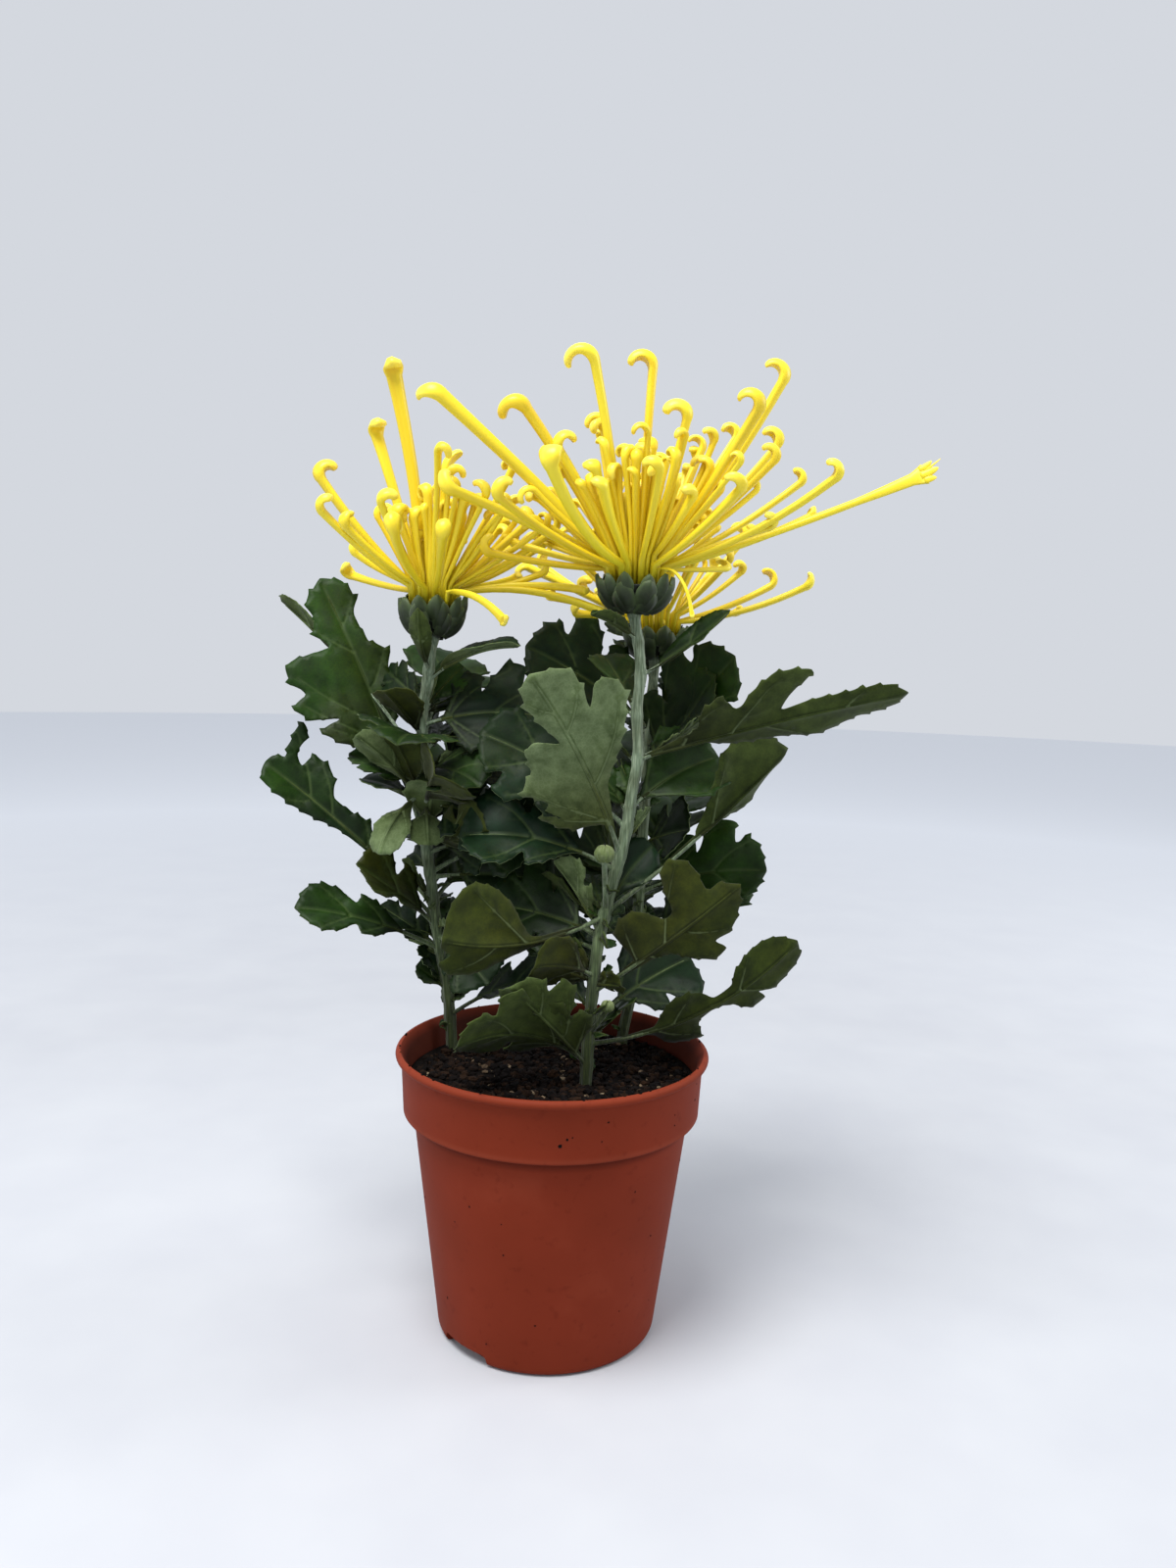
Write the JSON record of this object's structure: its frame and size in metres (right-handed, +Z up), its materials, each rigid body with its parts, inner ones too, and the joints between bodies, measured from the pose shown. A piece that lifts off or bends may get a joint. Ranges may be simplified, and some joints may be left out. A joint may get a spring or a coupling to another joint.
{
  "type": "potted chrysanthemum",
  "caption": "Potted spider chrysanthemum: leafy flower stems with long hooked tubular florets, standing in peat in a tapered round nursery pot.",
  "frame": {"origin": "middle of the pot's flat foot", "axes": "+Z up along the pot's axis, -Y towards the viewer of the picture, +X to that viewer's right"},
  "size_m": [0.245, 0.1698, 0.3724],
  "materials": {
    "terracotta_plastic": "satin moulded",
    "peat": "rough, damp",
    "leaf_green": "soft, finely downy",
    "bract_green": "soft",
    "floret_yellow": "satin"
  },
  "bodies": {
    "root": {"pot": "terracotta_plastic", "soil": "peat", "front_leafy_stem": "leaf_green", "left_leafy_stem": "leaf_green", "rear_leafy_stem": "leaf_green", "front_bloom_involucre": "bract_green", "left_bloom_involucre": "bract_green", "rear_bloom_involucre": "bract_green", "front_bloom_florets": "floret_yellow", "left_bloom_florets": "floret_yellow", "rear_bloom_florets": "floret_yellow"}
  },
  "joints": []
}
